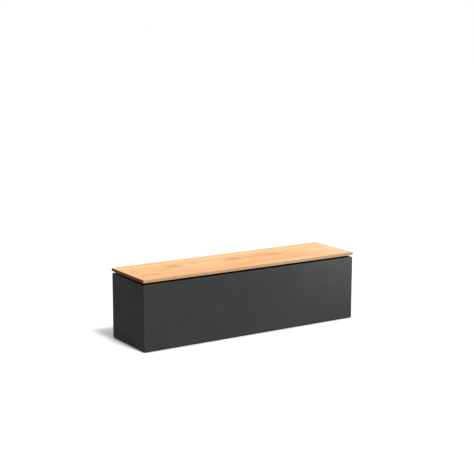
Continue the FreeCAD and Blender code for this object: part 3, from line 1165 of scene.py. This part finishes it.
def makeRibBeads(look, sizes):
    # short stitches where each edge of a rib's feet meets the wall
    beads = []
    for name in nodesNamed("rib_"):
        low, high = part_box(name)
        front = low[1] < 0
        y = low[1] if front else high[1]
        inward = Vector((0, sizes["ribLeg"] if front else -sizes["ribLeg"], 0))
        bay = (high[2] - low[2]) / sizes["ribStitches"]
        for x, out in ((low[0], -1), (high[0], 1)):
            sideways = Vector((out * sizes["ribLeg"], 0, 0))
            crown = (inward + sideways).normalized() * sizes["ribCrown"]
            for stitch in range(sizes["ribStitches"]):
                middle = low[2] + bay * (stitch + 0.5)
                ends = [Vector((x, y, middle + half * sizes["ribStitch"] / 2)) for half in (-1, 1)]
                beads.append(beadShape(*ends, inward, sideways, crown, look))
    addPiece("ribStitchBeads", beads, "trough", "inner_coat")


def makeFrameBeads(look, sizes):
    # low beads under the seat, where each crossbar meets the two rails
    beads = []
    foot = Vector((0, sizes["frameHalfWidth"], 0))
    crown = Vector((0, 0, -sizes["frameCrown"]))
    short = sizes["frameShort"]
    for name in nodesNamed("seat_crossbar_"):
        low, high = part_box(name)
        for y in (low[1], high[1]):
            ends = [Vector((x, y, low[2])) for x in (low[0] + short, high[0] - short)]
            beads.append(beadShape(*ends, foot, -foot, crown, look))
    addPiece("frameBeads", beads, "seat", "frame_coat")


makeCornerBeads(weldLook, beadSizes)
makeRibBeads(weldLook, beadSizes)
makeFrameBeads(frameWeldLook, beadSizes)
print("weld beads laid")

# pale floor with a painted contact shadow, plain light

studio = {
    "floorSize": 60.0,
    "floorColour": 0.85,
    "floorGlow": 0.27,
    "contactReach": 0.03,
    "floorBounce": 0.18,
    "skyHigh": 0.36,
    "skyLow": 0.10,
    "suns": [  # strength, softness in degrees, direction towards it
        (2.15, 11.0, (0.069, -0.474, 0.878)),
        (0.5, 8.0, (0.080, -0.325, 0.942)),
    ],
    "sidePlace": (1.12, -0.96, 0.775),
    "sideTarget": (1.22, -0.20, 1.27),
    "sideSize": (0.95, 0.10),
    "sideStrength": 15.0,
    "fillStrength": 0.9,
    "fillSoftness": 30.0,  # degrees
    "towardsFill": (0.35, 0.94, 0.04),
}


def seenDirectly(tree):
    # 1 for rays from the camera, in a mirror or through glass, 0 for light that bounces
    rays = putNode(tree, "ShaderNodeLightPath").outputs
    mirrored = calc(tree, "MAXIMUM", rays["Is Glossy Ray"], rays["Is Transmission Ray"])
    return calc(tree, "MAXIMUM", rays["Is Camera Ray"], mirrored)


def makeFloor(look):
    mesh = bpy.data.meshes.new("floor")
    half = look["floorSize"] / 2
    corners = [(-half, -half, 0), (half, -half, 0), (half, half, 0), (-half, half, 0)]
    mesh.from_pydata(corners, [], [(0, 1, 2, 3)])
    floor = bpy.data.objects.new("floor", mesh)
    bpy.context.scene.collection.objects.link(floor)
    material, tree, shader = newMaterial("paleFloor")
    direct = seenDirectly(tree)
    # painted shade: the floor's colour and glow darken near the bench, a painted contact shadow under and
    # beside it
    near = putNode(tree, "ShaderNodeAmbientOcclusion", {"Distance": look["contactReach"]}).outputs["AO"]
    bright = calc(tree, "MULTIPLY", near, look["floorColour"])
    tone = spread(tree, direct, 0.0, 1.0, look["floorBounce"], bright)
    grey = putNode(tree, "ShaderNodeCombineColor", {0: tone, 1: tone, 2: tone}).outputs[0]
    fill(tree, shader.inputs["Base Color"], grey)
    fill(tree, shader.inputs["Roughness"], 1.0)
    fill(tree, shader.inputs["Specular IOR Level"], 0.0)
    fill(tree, shader.inputs["Emission Color"], (1, 1, 1))
    glow = calc(tree, "MULTIPLY", near, look["floorGlow"])
    fill(tree, shader.inputs["Emission Strength"], calc(tree, "MULTIPLY", direct, glow))
    mesh.materials.append(material)


def makeWorld(look):
    world = bpy.data.worlds.new("studio")
    bpy.context.scene.world = world
    world.use_nodes = True
    tree = world.node_tree
    tree.nodes.clear()
    upward = axes(tree, objectPoint(tree))["Z"]
    sky = spread(tree, upward, 0.0, 1.0, look["skyLow"], look["skyHigh"])
    direct = seenDirectly(tree)
    strength = calc(tree, "MAXIMUM", direct, sky)
    background = putNode(tree, "ShaderNodeBackground", {"Color": (1, 1, 1), "Strength": strength})
    output = tree.nodes.new("ShaderNodeOutputWorld")
    tree.links.new(background.outputs[0], output.inputs["Surface"])


def addSun(name, strength, softness, towards):
    data = bpy.data.lights.new(name, "SUN")
    data.energy = strength
    data.angle = math.radians(softness)
    sun = bpy.data.objects.new(name, data)
    sun.rotation_euler = Vector(towards).to_track_quat("Z", "Y").to_euler()
    bpy.context.scene.collection.objects.link(sun)
    return sun


def makeSuns(look):
    # two from the front, one above the other, which soften the far edge of the shadow
    for strength, softness, towards in look["suns"]:
        addSun("sun", strength, softness, towards)


def makeSideLamp(look):
    # a strip lamp that is flagged off everything but the trough's own walls
    data = bpy.data.lights.new("sideLamp", "AREA")
    data.shape = "RECTANGLE"
    data.size, data.size_y = look["sideSize"]
    data.energy = look["sideStrength"]
    lamp = bpy.data.objects.new("sideLamp", data)
    lamp.location = look["sidePlace"]
    away = Vector(look["sidePlace"]) - Vector(look["sideTarget"])
    lamp.rotation_euler = away.to_track_quat("Z", "Y").to_euler()
    lamp.visible_camera = False
    bpy.context.scene.collection.objects.link(lamp)
    walls = bpy.data.collections.new("walls")
    for name in ("front_wall", "rear_wall", "left_end_wall", "right_end_wall"):
        walls.objects.link(nodes[name])
    lamp.light_linking.receiver_collection = walls


def makeFillSun(look):
    # low light from behind, flagged off the floor, so that the far sides aren't black; it
    # gives no gloss, which would show on the seat from the front
    sun = addSun("fillSun", look["fillStrength"], look["fillSoftness"], look["towardsFill"])
    pieces = bpy.data.collections.new("pieces")
    for piece in bpy.context.scene.objects:
        if piece.type == "MESH" and piece.name != "floor":
            pieces.objects.link(piece)
    sun.light_linking.receiver_collection = pieces
    sun.visible_glossy = False


makeFloor(studio)
makeWorld(studio)
makeSuns(studio)
makeSideLamp(studio)
makeFillSun(studio)
bpy.context.scene.view_settings.view_transform = "Standard"
print("floor, world and lamps set")
